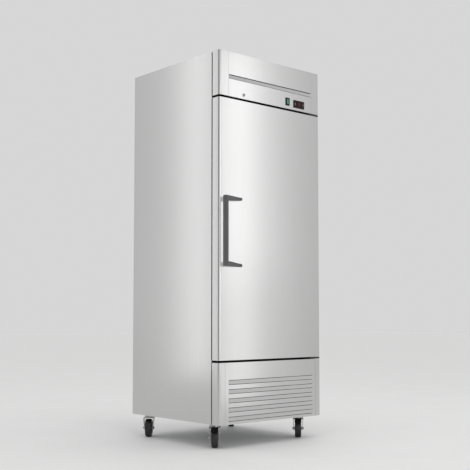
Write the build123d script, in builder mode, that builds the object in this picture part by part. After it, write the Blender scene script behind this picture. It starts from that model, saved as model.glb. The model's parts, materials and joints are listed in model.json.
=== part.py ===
"""Single-door reach-in refrigerator for a restaurant kitchen, with the compressor below, in millimetres.

Frame: +X to the right of a person who faces the door, +Y towards the back, +Z up. The origin is on the
floor, at the centre of the overall footprint. The insulated cabinet stands on a sheet-metal base with four
swivel casters. In front of it, flush with each other, are the control fascia, the door and the grille panel.
"""

import os
from math import cos, radians, sin, sqrt, tan

from build123d import *

os.makedirs("parts", exist_ok=True)

# ---------------------------------------------------------------- driving dimensions
WIDTH = 760.0  # cabinet, fascia, door and grille panel
BODY_DEPTH = 770.0  # door's front face to the back panel
HANDLE_REACH = 50.0  # the handle in front of the door
HEIGHT = 2095.0
CASTER_HEIGHT = 125.0  # floor to the base
FRONT_THICK = 55.0  # fascia, door and grille panel
GASKET_GAP = 8.0  # between those and the cabinet
WALL = 58.0  # insulated wall, sheets included
SHEET = 1.0
EDGE_R = 12.0  # rolled upright corners of the front panels

# ---------------------------------------------------------------- places worked out from them
HALF = WIDTH / 2
BACK_Y = (BODY_DEPTH + HANDLE_REACH) / 2
FACE_Y = BACK_Y - BODY_DEPTH  # front face of the fascia, door and grille panel
PANEL_BACK_Y = FACE_Y + FRONT_THICK
CABINET_Y = PANEL_BACK_Y + GASKET_GAP  # front of the cabinet
BASE_Z = CASTER_HEIGHT

DOOR_BOTTOM, DOOR_TOP = 457.0, 1842.0
GRILLE_TOP = DOOR_BOTTOM - 12.0
FASCIA_BOTTOM = DOOR_TOP + 12.0

CAVITY_X = HALF - WALL - 1.0  # half the width inside the liner
BOX_BOTTOM = GRILLE_TOP - 7.0  # underside of the insulated box
CAVITY_Z0, CAVITY_Z1 = BOX_BOTTOM + WALL, HEIGHT - WALL - 2.0
CAVITY_Y1 = BACK_Y - WALL - 1.0
OPENING_Z1 = DOOR_TOP - 33.0  # top of the doorway
HEADER_Y = CABINET_Y + WALL + 4.0  # inner face of the insulated header over the doorway
BREAKER_T = 3.0  # thermal breaker strip around the doorway
LINER_Y = CABINET_Y + BREAKER_T
BREAKER_W = 14.0

HINGE_X = HALF - 16.0
HINGE_Y = FACE_Y + FRONT_THICK / 2
PIN_R = 5.0
RUNNING = 0.05  # radial clearance of a running fit
LOOSE = 0.1  # clearance around a piece that sits in a pocket

FASCIA_SEAM_X, GRILLE_SEAM_X = 317.0, 338.0  # pressed upright seams
SEAM_W, SEAM_DEEP = 2.0, 0.6
# bridge slots: height of the slot, then the strip's gap and its set-back, each at its low and high edge
SLOT_LENGTH = 626.0
FASCIA_BRIDGE = (23.5, (2.5, 0.8), (2.0, 5.0))
GRILLE_BRIDGE = (24.5, (2.0, 2.8), (4.0, 2.0))
FASCIA_SLOT_Z = 1960.8
GRILLE_SLOTS, GRILLE_SLOT_PITCH, GRILLE_SLOT_LOW = 5, 47.5, 152.3

LOCK_X, LOCK_Z = -206.0, 1876.0
LOCK_BARREL_R, LOCK_PLUG_R = 7.5, 5.0
CAM_Y, CAM_T = FACE_Y + 30.0, 3.0  # middle and thickness of the lock cam
CAM_SLOT = 9.0  # width of the slots it swings through
LOCK_REACH = 42.0  # lock cam, from the plug's axis to its tip
SWITCH_X, SWITCH_Z = 125.0, 1894.0
SWITCH_W, SWITCH_H = 31.0, 44.0  # bezel
CONTROL_X, CONTROL_Z = 215.0, 1890.0
CONTROL_W, CONTROL_H = 84.0, 43.0  # bezel
ROCKER_TILT = 9.0

HANDLE_Z0, HANDLE_Z1 = 946.0, 1316.0
GRIP_X = -HALF + 14.0  # centre of the grip
GRIP_W, GRIP_D, GRIP_R = 23.0, 26.0, 6.5
FOOT_X = -HALF + 144.0  # centre of a handle foot
FOOT_R = 7.0

SHELF_Z = {"shelf_bottom": 790.0, "shelf_middle": 1110.0, "shelf_top": 1430.0}
SHELF_W, SHELF_Y0, SHELF_Y1 = 616.0, -268.0, 300.0
PILASTER_Y = (-215.0, 245.0)
PILASTER_Z0, PILASTER_Z1 = 540.0, 1790.0
PILASTER_T, PILASTER_W = 4.0, 18.0

EVAP_X, EVAP_Y0, EVAP_Y1, EVAP_Z0 = 290.0, -130.0, 330.0, 1842.0
EVAP_FAN_Y, EVAP_FAN_Z, EVAP_FAN_R = -110.0, 1938.0, 74.0
PIPE_Y = BACK_Y - WALL / 2  # pipes that run down inside the back wall
EVAP_COIL_Y0, EVAP_COIL_Z0, EVAP_COIL_X = 20.0, EVAP_Z0 + 28.0, -10.0
EVAP_COIL_W, EVAP_COIL_D, EVAP_COIL_H = 480.0, 180.0, 150.0
# pipes through the back wall: x, height where it leaves the liner, radius
DRAIN_X, DRAIN_Z, DRAIN_R = -200.0, 1855.0, 10.0
SUCTION_X, SUCTION_Z, SUCTION_R = 262.0, EVAP_COIL_Z0 + EVAP_COIL_H / 8, 6.0
WALL_PIPES = ((DRAIN_X, DRAIN_Z, DRAIN_R), (SUCTION_X, SUCTION_Z, SUCTION_R))

CONDENSER_X, CONDENSER_Z, CONDENSER_Y0 = -105.0, 280.0, -276.0
CONDENSER_W, CONDENSER_H, CONDENSER_D = 400.0, 270.0, 66.0
CONDENSER_ROWS, CONDENSER_COLUMNS = 8, 2
FAN_R = 112.0
COMPRESSOR_X, COMPRESSOR_Y = 205.0, 200.0
COMPRESSOR_R, COMPRESSOR_H = 84.0, 196.0

# hinge brackets: each plate nearly fills the gap above or below the door
BRACKET_T, BRACKET_CLEAR = 9.0, 1.5
BRACKET_Z = (DOOR_BOTTOM - BRACKET_CLEAR - BRACKET_T, DOOR_TOP + BRACKET_CLEAR)  # undersides of the plates
BRACKET_X0, BRACKET_X1 = HALF - 74.0, HALF - 13.0
BRACKET_SCREW_Z = (BRACKET_Z[0] - 3.8, BRACKET_Z[1] + BRACKET_T + 3.8)
BRACKET_SCREWS = [(x, z) for x in (HALF - 64.0, HALF - 36.0) for z in BRACKET_SCREW_Z]
# rear grille screws: into the base's rim below, into the box's lip above
REAR_SCREWS = [(x, z) for x in (-330.0, 0.0, 330.0) for z in (BASE_Z + 15.0, BOX_BOTTOM - 8.0)]
SCREW_R, SCREW_HEAD_R = 1.8, 3.5

WHEEL_R, WHEEL_W = 50.0, 36.0
TRAIL = 28.0  # wheel axle behind the kingpin
AXLE_R = 5.0
CASTER_X, CASTER_FRONT_Y, CASTER_REAR_Y = 312.0, -248.0, 336.0
# name: (x, y, turn of the wheel about the kingpin, has a brake)
CASTERS = {
    "front_left": (-CASTER_X, CASTER_FRONT_Y, -42.0, True),
    "front_right": (CASTER_X, CASTER_FRONT_Y, -46.0, True),
    "rear_left": (-CASTER_X, CASTER_REAR_Y, -44.0, False),
    "rear_right": (CASTER_X, CASTER_REAR_Y, 138.0, False),
}


def save(part, label):
    """Labels a finished piece and writes it as parts/LABEL.step."""
    part.label = label
    export_step(part, f"parts/{label}.step")


def block(x0, x1, y0, y1, z0, z1, mode=Mode.ADD):
    """An axis-aligned box between two corners, for the builder that is open."""
    with Locations(((x0 + x1) / 2, (y0 + y1) / 2, (z0 + z1) / 2)):
        Box(x1 - x0, y1 - y0, z1 - z0, mode=mode)


ROD_TURN = {
    "+X": (0, 90, 0),
    "-X": (0, -90, 0),
    "+Y": (-90, 0, 0),
    "-Y": (90, 0, 0),
    "+Z": (0, 0, 0),
    "-Z": (180, 0, 0),
}


def rod(x, y, z, radius, length, direction, mode=Mode.ADD):
    """A cylinder that starts at a point and runs along +X, -X, +Y, -Y, +Z or -Z."""
    with Locations((x, y, z)):
        Cylinder(
            radius,
            length,
            rotation=ROD_TURN[direction],
            align=(Align.CENTER, Align.CENTER, Align.MIN),
            mode=mode,
        )


# ---------------------------------------------------------------- cabinet
INSIDE_X = HALF - SHEET  # inner face of the side panels
FRAME_X = HALF - 3.0  # the side panels' front flanges end here, and the face frame starts
FLANGE_X = HALF - 12.0  # the side panels' back flanges end here


def side_panel(side):
    """Outer side sheet with its front and back flanges. side is -1 for the left and 1 for the right."""
    outer, inner = side * HALF, side * (HALF - SHEET)
    front_flange, flange = side * FRAME_X, side * FLANGE_X
    with BuildPart() as panel:
        with BuildSketch(Plane.XY.offset(BASE_Z)):
            with BuildLine():
                Polyline(
                    (front_flange, CABINET_Y),
                    (outer, CABINET_Y),
                    (outer, BACK_Y),
                    (flange, BACK_Y),
                    (flange, BACK_Y - SHEET),
                    (inner, BACK_Y - SHEET),
                    (inner, CABINET_Y + SHEET),
                    (front_flange, CABINET_Y + SHEET),
                    close=True,
                )
            make_face()
        extrude(amount=HEIGHT - BASE_Z)
    return panel.part


save(side_panel(-1), "left_side_panel")
save(side_panel(1), "right_side_panel")

with BuildPart() as top_panel:
    block(-INSIDE_X, INSIDE_X, CABINET_Y + SHEET, BACK_Y - SHEET, HEIGHT - SHEET, HEIGHT)
    block(-FRAME_X, FRAME_X, CABINET_Y, CABINET_Y + SHEET, HEIGHT - 3.0, HEIGHT)
    block(-FLANGE_X, FLANGE_X, BACK_Y - SHEET, BACK_Y, HEIGHT - 14.0, HEIGHT)
save(top_panel.part, "top_panel")

# one sheet, bent under the insulated box as its floor, with a lip for the rear grille
with BuildPart() as back_panel:
    block(-FLANGE_X, FLANGE_X, BACK_Y - SHEET, BACK_Y, BOX_BOTTOM, HEIGHT - 14.0)
    block(-INSIDE_X, INSIDE_X, CABINET_Y + SHEET, BACK_Y - SHEET, BOX_BOTTOM, BOX_BOTTOM + SHEET)
    block(-FLANGE_X, FLANGE_X, BACK_Y - 3.0, BACK_Y - SHEET, BOX_BOTTOM - 16.0, BOX_BOTTOM)
    for x, leave_z, radius in WALL_PIPES:
        rod(x, PIPE_Y, BOX_BOTTOM - 5.0, radius + 2.0, 10.0, "+Z", mode=Mode.SUBTRACT)
    for x, z in REAR_SCREWS:
        rod(x, BACK_Y + 1.0, z, SCREW_R, 6.0, "-Y", mode=Mode.SUBTRACT)
save(back_panel.part, "back_panel")


def cavity_profile(grow):
    """Side outline of the food compartment, grown outwards by grow, open past the doorway."""
    front = LINER_Y - 20.0 if grow == 0 else LINER_Y
    with BuildLine() as outline:
        Polyline(
            (front, CAVITY_Z0 - grow),
            (CAVITY_Y1 + grow, CAVITY_Z0 - grow),
            (CAVITY_Y1 + grow, CAVITY_Z1 + grow),
            (HEADER_Y - grow, CAVITY_Z1 + grow),
            (HEADER_Y - grow, OPENING_Z1 + grow),
            (front, OPENING_Z1 + grow),
            close=True,
        )
    make_face(outline.edges())


with BuildPart() as inner_liner:
    with BuildSketch(Plane.YZ):
        cavity_profile(SHEET)
    extrude(amount=CAVITY_X + SHEET, both=True)
    with BuildSketch(Plane.YZ):
        cavity_profile(0)
    extrude(amount=CAVITY_X, both=True, mode=Mode.SUBTRACT)
    for x, leave_z, radius in WALL_PIPES:
        rod(x, CAVITY_Y1 - 5.0, leave_z, radius + LOOSE, 12.0, "+Y", mode=Mode.SUBTRACT)
save(inner_liner.part, "inner_liner")

BREAKER_X = CAVITY_X + BREAKER_W
BREAKER_Z0, BREAKER_Z1 = CAVITY_Z0 - BREAKER_W, OPENING_Z1 + BREAKER_W

with BuildPart() as cabinet_insulation:
    block(
        -INSIDE_X, INSIDE_X, CABINET_Y + SHEET, BACK_Y - SHEET, BOX_BOTTOM + SHEET, HEIGHT - SHEET
    )
    with BuildSketch(Plane.YZ):
        cavity_profile(SHEET)
    extrude(amount=CAVITY_X + SHEET, both=True, mode=Mode.SUBTRACT)
    block(
        -BREAKER_X, BREAKER_X, CABINET_Y, LINER_Y, BREAKER_Z0, BREAKER_Z1, mode=Mode.SUBTRACT
    )
    # pipe ways: out of the liner's back, round the bend, then down through the floor
    for x, leave_z, radius in WALL_PIPES:
        way = radius + 2.0
        block(
            x - way, x + way, CAVITY_Y1 - 5.0, PIPE_Y + way, leave_z - 45.0, leave_z + way,
            mode=Mode.SUBTRACT,
        )
        rod(x, PIPE_Y, BOX_BOTTOM - 5.0, way, leave_z - BOX_BOTTOM, "+Z", mode=Mode.SUBTRACT)
    for x, z in BRACKET_SCREWS:
        rod(x, CABINET_Y, z, SCREW_R, 9.0, "+Y", mode=Mode.SUBTRACT)
save(cabinet_insulation.part, "cabinet_insulation")

with BuildPart() as face_frame:
    block(-FRAME_X, FRAME_X, CABINET_Y, CABINET_Y + SHEET, BOX_BOTTOM, HEIGHT - 3.0)
    block(
        -BREAKER_X,
        BREAKER_X,
        CABINET_Y - 5.0,
        CABINET_Y + 5.0,
        BREAKER_Z0,
        BREAKER_Z1,
        mode=Mode.SUBTRACT,
    )
    for x, z in BRACKET_SCREWS:
        rod(x, CABINET_Y - 1.0, z, SCREW_R, 5.0, "+Y", mode=Mode.SUBTRACT)
save(face_frame.part, "face_frame")

LEG_T, LEG_DEEP = 2.0, 20.0
with BuildPart() as thermal_breaker:
    block(-BREAKER_X, BREAKER_X, CABINET_Y, LINER_Y, BREAKER_Z0, BREAKER_Z1)
    block(
        -CAVITY_X, CAVITY_X, LINER_Y, LINER_Y + LEG_DEEP, CAVITY_Z0, OPENING_Z1
    )
    block(
        -CAVITY_X + LEG_T,
        CAVITY_X - LEG_T,
        CABINET_Y - 5.0,
        LINER_Y + LEG_DEEP + 5.0,
        CAVITY_Z0 + LEG_T,
        OPENING_Z1 - LEG_T,
        mode=Mode.SUBTRACT,
    )
save(thermal_breaker.part, "thermal_breaker")

CHASSIS_T, CHASSIS_RIM = 2.0, 26.0
CHASSIS_X, CHASSIS_Y0, CHASSIS_Y1 = HALF - 2.0, CABINET_Y + 2.0, BACK_Y - 2.0
FLOOR_Z = BASE_Z + CHASSIS_T  # upper face of the base, inside
with BuildPart() as base_chassis:
    block(-CHASSIS_X, CHASSIS_X, CHASSIS_Y0, CHASSIS_Y1, BASE_Z, BASE_Z + CHASSIS_RIM)
    block(
        -CHASSIS_X + CHASSIS_T,
        CHASSIS_X - CHASSIS_T,
        CHASSIS_Y0 + CHASSIS_T,
        CHASSIS_Y1 - CHASSIS_T,
        FLOOR_Z,
        BASE_Z + CHASSIS_RIM + 1.0,
        mode=Mode.SUBTRACT,
    )
    for x, z in REAR_SCREWS:
        rod(x, BACK_Y + 1.0, z, SCREW_R, 6.0, "-Y", mode=Mode.SUBTRACT)
save(base_chassis.part, "base_chassis")

REAR_Z0 = BASE_Z + CHASSIS_RIM + 2.0
REAR_SLOTS_Z = [REAR_Z0 + 40.0 + 24.0 * i for i in range(9)]
INLET_X, INLET_Z = -336.0, REAR_Z0 + 45.0
with BuildPart() as rear_grille:
    block(-FLANGE_X, FLANGE_X, BACK_Y - SHEET, BACK_Y, REAR_Z0 - 26.0, BOX_BOTTOM - 1.0)
    for slot_z in REAR_SLOTS_Z:
        for slot_x in (-140.0, 140.0):
            with BuildSketch(Plane((slot_x, BACK_Y + 1.0, slot_z), x_dir=(1, 0, 0), z_dir=(0, -1, 0))):
                SlotOverall(230.0, 8.0)
            extrude(amount=4.0, mode=Mode.SUBTRACT)
    rod(INLET_X, BACK_Y + 1.0, INLET_Z, 9.0, 4.0, "-Y", mode=Mode.SUBTRACT)
    for x, z in REAR_SCREWS:
        rod(x, BACK_Y + 1.0, z, SCREW_HEAD_R, 4.0, "-Y", mode=Mode.SUBTRACT)
save(rear_grille.part, "rear_grille")

with BuildPart() as cord_inlet:
    rod(INLET_X, BACK_Y - SHEET - 3.0, INLET_Z, 13.0, 3.0, "+Y")
    rod(INLET_X, BACK_Y - SHEET - 3.0, INLET_Z, 9.0 - LOOSE, 3.0 + SHEET, "+Y")
    rod(INLET_X, BACK_Y - SHEET - 3.0, INLET_Z, 11.0, 9.0, "-Y")
    rod(INLET_X, BACK_Y + 1.0, INLET_Z, 4.0, 20.0, "-Y", mode=Mode.SUBTRACT)
save(cord_inlet.part, "cord_inlet")


# ---------------------------------------------------------------- front panels
def front_shell(z0, z1, seam_x):
    """Formed front panel: a tray open at the back, with a narrower neck that meets the cabinet."""
    neck = 8.0
    block(-HALF, HALF, FACE_Y, PANEL_BACK_Y, z0, z1)
    fillet(
        [e for e in edges().filter_by(Axis.Z) if abs(e.center().Y - FACE_Y) < 0.1], EDGE_R
    )
    block(-HALF + neck, HALF - neck, PANEL_BACK_Y, CABINET_Y, z0 + neck, z1 - neck)
    block(
        -HALF + EDGE_R + SHEET,
        HALF - EDGE_R - SHEET,
        FACE_Y + SHEET,
        CABINET_Y + 1.0,
        z0 + neck + SHEET,
        z1 - neck - SHEET,
        mode=Mode.SUBTRACT,
    )
    # the tray is hollow out to its rolled corners, as far back as the flange that carries the neck
    block(
        -HALF + SHEET,
        HALF - SHEET,
        FACE_Y + EDGE_R,
        PANEL_BACK_Y - SHEET,
        z0 + SHEET,
        z1 - SHEET,
        mode=Mode.SUBTRACT,
    )
    for side in (-1, 1):
        block(
            side * seam_x - SEAM_W / 2,
            side * seam_x + SEAM_W / 2,
            FACE_Y - 1.0,
            FACE_Y + SEAM_DEEP,
            z0 - 1.0,
            z1 + 1.0,
            mode=Mode.SUBTRACT,
        )


def slot_section(x, low, high):
    """Cross-section of a bridge strip at x; low and high are its edges as (set-back, height)."""
    with BuildSketch(Plane.YZ.offset(x)) as section:
        with BuildLine():
            Polyline(
                (FACE_Y + low[0], low[1]),
                (FACE_Y + low[0] + SHEET, low[1]),
                (FACE_Y + high[0] + SHEET, high[1]),
                (FACE_Y + high[0], high[1]),
                close=True,
            )
        make_face()
    return section.sketch


def bridge_slot(z, height, gaps, set_backs):
    """A long air slot bridged by a strip that is pressed inwards, deeper at one of its long edges."""
    half, ramp = SLOT_LENGTH / 2, 5.0
    z0, z1 = z - height / 2, z + height / 2
    block(-half, half, FACE_Y - 1.0, FACE_Y + 3.0, z0, z1, mode=Mode.SUBTRACT)
    low_z, high_z = z0 + gaps[0], z1 - gaps[1]
    level = ((0.0, low_z), (0.0, high_z))
    pressed = ((set_backs[0], low_z), (set_backs[1], high_z))
    sections = [
        slot_section(-half, *level),
        slot_section(-half + ramp, *pressed),
        slot_section(half - ramp, *pressed),
        slot_section(half, *level),
    ]
    loft(sections, ruled=True)


with BuildPart() as fascia_panel:
    front_shell(FASCIA_BOTTOM, HEIGHT, FASCIA_SEAM_X)
    bridge_slot(FASCIA_SLOT_Z, *FASCIA_BRIDGE)
    # cut-outs: lock, rocker switch, temperature controller and the way down for the lock's cam
    rod(LOCK_X, FACE_Y - 1.0, LOCK_Z, LOCK_BARREL_R + LOOSE, 4.0, "+Y", mode=Mode.SUBTRACT)
    block(
        SWITCH_X - 12.0, SWITCH_X + 12.0, FACE_Y - 1.0, FACE_Y + 3.0, SWITCH_Z - 17.5, SWITCH_Z + 17.5,
        mode=Mode.SUBTRACT,
    )
    block(
        CONTROL_X - 35.5, CONTROL_X + 35.5, FACE_Y - 1.0, FACE_Y + 3.0, CONTROL_Z - 14.5, CONTROL_Z + 14.5,
        mode=Mode.SUBTRACT,
    )
    block(
        LOCK_X - 9.0, LOCK_X + 39.0, CAM_Y - CAM_SLOT / 2, CAM_Y + CAM_SLOT / 2, FASCIA_BOTTOM - 1.0,
        FASCIA_BOTTOM + 3.0,
        mode=Mode.SUBTRACT,
    )
save(fascia_panel.part, "fascia_panel")

with BuildPart() as grille_panel:
    front_shell(BASE_Z, GRILLE_TOP, GRILLE_SEAM_X)
    for i in range(GRILLE_SLOTS):
        bridge_slot(GRILLE_SLOT_LOW + i * GRILLE_SLOT_PITCH, *GRILLE_BRIDGE)
save(grille_panel.part, "grille_panel")


# ---------------------------------------------------------------- hinge brackets and screws
with BuildPart() as hinge_brackets:
    for z, way in zip(BRACKET_Z, ("+Z", "-Z")):
        block(BRACKET_X0, HALF - 2.0, FACE_Y + 4.0, CABINET_Y, z, z + BRACKET_T)
        flange_z, pin_z = (z - 7.0, z) if way == "+Z" else (z + BRACKET_T - 5.0, z + BRACKET_T)
        block(BRACKET_X0, BRACKET_X1, CABINET_Y - 3.0, CABINET_Y, flange_z, flange_z + 12.0)
        rod(HINGE_X, HINGE_Y, pin_z, PIN_R, BRACKET_T + 26.0, way)
    for x, z in BRACKET_SCREWS:
        rod(x, CABINET_Y - 4.0, z, SCREW_R, 5.0, "+Y", mode=Mode.SUBTRACT)
save(hinge_brackets.part, "hinge_brackets")

with BuildPart() as panel_screws:
    for x, z in REAR_SCREWS:
        rod(x, BACK_Y, z, SCREW_HEAD_R, SHEET, "-Y")
        rod(x, BACK_Y, z, SCREW_R, 7.0, "-Y")
    for x, z in BRACKET_SCREWS:
        rod(x, CABINET_Y - 3.0, z, SCREW_HEAD_R, 1.8, "-Y")
        rod(x, CABINET_Y - 3.0, z, SCREW_R, 11.0, "+Y")
save(panel_screws.part, "panel_screws")

# ---------------------------------------------------------------- lock, rocker switch, controller
with BuildPart() as lock_housing:
    rod(LOCK_X, FACE_Y, LOCK_Z, 8.8, 2.2, "-Y")
    fillet(lock_housing.edges().group_by(Axis.Y)[0], 0.8)
    rod(LOCK_X, FACE_Y, LOCK_Z, LOCK_BARREL_R, 28.0, "+Y")
    rod(LOCK_X, FACE_Y - 5.0, LOCK_Z, LOCK_PLUG_R + RUNNING, 40.0, "+Y", mode=Mode.SUBTRACT)
save(lock_housing.part, "lock_housing")

with BuildPart() as lock_plug:
    rod(LOCK_X, FACE_Y - 2.0, LOCK_Z, LOCK_PLUG_R, 34.0, "+Y")
    # keyway, upright, then the cam that drops into the door's top
    block(
        LOCK_X - 0.8, LOCK_X + 0.8, FACE_Y - 3.0, FACE_Y + 12.0, LOCK_Z - 3.6, LOCK_Z + 3.6,
        mode=Mode.SUBTRACT,
    )
    block(
        LOCK_X - 7.0, LOCK_X + LOCK_REACH, CAM_Y - CAM_T / 2, CAM_Y + CAM_T / 2, LOCK_Z - 6.0, LOCK_Z + 6.0
    )
save(lock_plug.part, "lock_plug")

ROCKER_R, ROCKER_W, ROCKER_Y = 15.6, 14.0, FACE_Y + 4.0
with BuildPart() as switch_housing:
    block(
        SWITCH_X - SWITCH_W / 2, SWITCH_X + SWITCH_W / 2, FACE_Y - 2.0, FACE_Y,
        SWITCH_Z - SWITCH_H / 2, SWITCH_Z + SWITCH_H / 2,
    )
    fillet(switch_housing.edges().filter_by(Axis.Y), 3.0)
    block(SWITCH_X - 11.8, SWITCH_X + 11.8, FACE_Y, FACE_Y + 23.0, SWITCH_Z - 17.3, SWITCH_Z + 17.3)
    rod(SWITCH_X - ROCKER_W / 2 - 0.5, ROCKER_Y, SWITCH_Z, 16.2, ROCKER_W + 1.0, "+X", mode=Mode.SUBTRACT)
    rod(SWITCH_X - 9.5, ROCKER_Y, SWITCH_Z, 1.5 + RUNNING, 19.0, "+X", mode=Mode.SUBTRACT)
save(switch_housing.part, "switch_housing")

with BuildPart() as rocker:
    rod(SWITCH_X - ROCKER_W / 2, ROCKER_Y, SWITCH_Z, ROCKER_R, ROCKER_W, "+X")
    # two flats that meet in a shallow valley; the upper one is pressed in at rest
    for tilt in (0.0, 2 * ROCKER_TILT):
        with BuildSketch(Plane.YZ.offset(SWITCH_X)):
            with BuildLine():
                far, valley = 30.0, ROCKER_Y - 7.0
                rise = 1 if tilt == 0 else -1
                Polyline(
                    (valley, SWITCH_Z),
                    (valley - far * tan(radians(tilt)), SWITCH_Z + rise * far),
                    (valley - far, SWITCH_Z + rise * far),
                    (valley - far, SWITCH_Z),
                    close=True,
                )
            make_face()
        extrude(amount=ROCKER_W, both=True, mode=Mode.SUBTRACT)
    rod(SWITCH_X - 9.0, ROCKER_Y, SWITCH_Z, 1.5, 18.0, "+X")
save(rocker.part, "rocker")

KEY_X, KEY_W, KEY_H = 31.0, 7.0, 22.0
WINDOW_W, WINDOW_H = 48.0, 27.0
with BuildPart() as controller_housing:
    block(
        CONTROL_X - CONTROL_W / 2, CONTROL_X + CONTROL_W / 2, FACE_Y - 3.0, FACE_Y,
        CONTROL_Z - CONTROL_H / 2, CONTROL_Z + CONTROL_H / 2,
    )
    fillet(controller_housing.edges().filter_by(Axis.Y), 3.0)
    block(CONTROL_X - 35.4, CONTROL_X + 35.4, FACE_Y, FACE_Y + 44.0, CONTROL_Z - 14.4, CONTROL_Z + 14.4)
    with Locations((CONTROL_X, FACE_Y - 3.0, CONTROL_Z)):
        Box(WINDOW_W, 3.0, WINDOW_H, mode=Mode.SUBTRACT)
    for side in (-1, 1):
        with Locations((CONTROL_X + side * KEY_X, FACE_Y, CONTROL_Z)):
            Box(KEY_W + 0.6, 8.0, KEY_H + 0.6, mode=Mode.SUBTRACT)
save(controller_housing.part, "controller_housing")

with BuildPart() as controller_window:
    with Locations((CONTROL_X, FACE_Y - 2.25, CONTROL_Z)):
        Box(WINDOW_W, 1.5, WINDOW_H)
save(controller_window.part, "controller_window")

for key_side, key_name in ((-1, "left_key"), (1, "right_key")):
    with BuildPart() as key:
        with Locations((CONTROL_X + key_side * KEY_X, FACE_Y - 0.5, CONTROL_Z)):
            Box(KEY_W, 6.6, KEY_H)
        fillet(key.edges().filter_by(Axis.Y), 1.5)
    save(key.part, key_name)

# ---------------------------------------------------------------- door
def cam_slot(z0, z1):
    """Slot in the door's top that the lock cam drops into."""
    y0, y1 = CAM_Y - CAM_SLOT / 2, CAM_Y + CAM_SLOT / 2
    block(LOCK_X - 9.0, LOCK_X + 31.0, y0, y1, z0, z1, mode=Mode.SUBTRACT)


with BuildPart() as door_skin:
    block(-HALF, HALF, FACE_Y, PANEL_BACK_Y, DOOR_BOTTOM, DOOR_TOP)
    fillet([e for e in edges().filter_by(Axis.Z) if abs(e.center().Y - FACE_Y) < 0.1], EDGE_R)
    door_cavity = (
        (HALF - EDGE_R - SHEET, FACE_Y + SHEET, PANEL_BACK_Y - SHEET, SHEET),
        (HALF - SHEET, FACE_Y + EDGE_R, PANEL_BACK_Y - SHEET, SHEET),
        (HALF - 30.0, PANEL_BACK_Y - 5.0, PANEL_BACK_Y + 5.0, 30.0),
    )
    for half, y0, y1, inset in door_cavity:
        block(-half, half, y0, y1, DOOR_BOTTOM + inset, DOOR_TOP - inset, mode=Mode.SUBTRACT)
    # bush bores, handle screw holes and the lock's slot
    for z in (DOOR_BOTTOM - 1.0, DOOR_TOP - 2.0):
        rod(HINGE_X, HINGE_Y, z, 8.0, 3.0, "+Z", mode=Mode.SUBTRACT)
    for z in (HANDLE_Z0 + 11.0, HANDLE_Z1 - 11.0):
        rod(FOOT_X, FACE_Y - 1.0, z, 2.6, 3.0, "+Y", mode=Mode.SUBTRACT)
    cam_slot(DOOR_TOP - 2.0, DOOR_TOP + 1.0)
save(door_skin.part, "door_skin")

with BuildPart() as door_insulation:
    for half, y0, y1, inset in door_cavity[:2]:
        block(-half, half, y0, y1, DOOR_BOTTOM + inset, DOOR_TOP - inset)
    block(
        -HALF + 50.0, HALF - 50.0, PANEL_BACK_Y - 7.0, PANEL_BACK_Y, DOOR_BOTTOM + 50.0, DOOR_TOP - 50.0,
        mode=Mode.SUBTRACT,
    )
    for z, length in ((DOOR_BOTTOM, "+Z"), (DOOR_TOP, "-Z")):
        rod(HINGE_X, HINGE_Y, z, 8.0, 34.0, length, mode=Mode.SUBTRACT)
    for z in (HANDLE_Z0 + 11.0, HANDLE_Z1 - 11.0):
        rod(FOOT_X, FACE_Y, z, 5.0, 7.0, "+Y", mode=Mode.SUBTRACT)
    cam_slot(DOOR_TOP - 16.0, DOOR_TOP)
save(door_insulation.part, "door_insulation")

with BuildPart() as door_inner_panel:
    block(-HALF + 30.2, HALF - 30.2, PANEL_BACK_Y - SHEET, PANEL_BACK_Y, DOOR_BOTTOM + 30.2, DOOR_TOP - 30.2)
    block(-HALF + 50.0, HALF - 50.0, PANEL_BACK_Y - 7.0, PANEL_BACK_Y, DOOR_BOTTOM + 50.0, DOOR_TOP - 50.0)
    block(
        -HALF + 51.0, HALF - 51.0, PANEL_BACK_Y - 6.0, PANEL_BACK_Y + 1.0,
        DOOR_BOTTOM + 51.0, DOOR_TOP - 51.0,
        mode=Mode.SUBTRACT,
    )
save(door_inner_panel.part, "door_inner_panel")

with BuildPart() as door_gasket:
    # dart strip against the door, then the softer magnet bubble towards the cabinet
    for half, inset, y0, y1, width in (
        (HINGE_X, 6.0, PANEL_BACK_Y, PANEL_BACK_Y + 3.0, 24.0),
        (HINGE_X - 3.0, 9.0, PANEL_BACK_Y + 3.0, CABINET_Y - 0.4, 15.0),
    ):
        block(-half, half, y0, y1, DOOR_BOTTOM + inset, DOOR_TOP - inset)
        block(
            -half + width, half - width, y0, y1, DOOR_BOTTOM + inset + width, DOOR_TOP - inset - width,
            mode=Mode.SUBTRACT,
        )
save(door_gasket.part, "door_gasket")

with BuildPart() as door_bushes:
    for z, direction in ((DOOR_BOTTOM, "+Z"), (DOOR_TOP, "-Z")):
        rod(HINGE_X, HINGE_Y, z, 8.0, 34.0, direction)
        rod(HINGE_X, HINGE_Y, z, PIN_R + RUNNING, 32.0, direction, mode=Mode.SUBTRACT)
save(door_bushes.part, "door_bushes")


def handle_leg(top):
    """Tapering leg from the grip to its foot; its outer edge is level, at the height top or bottom."""
    sections = []
    for x, y, deep, tall in (
        (GRIP_X, FACE_Y - 37.0, GRIP_D, 27.0),
        (GRIP_X + 45.0, FACE_Y - 29.0, 15.0, 24.5),
        (FOOT_X - 18.0, FACE_Y - 8.5, 11.0, 18.5),
        (FOOT_X, FACE_Y - 6.0, 11.0, 2 * FOOT_R + 3.0),
    ):
        z = HANDLE_Z1 - tall / 2 if top else HANDLE_Z0 + tall / 2
        with BuildSketch(Plane.YZ.offset(x)) as section:
            with Locations((y, z)):
                RectangleRounded(deep, tall, 3.5)
        sections.append(section.sketch)
    loft(sections, ruled=True)


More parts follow.
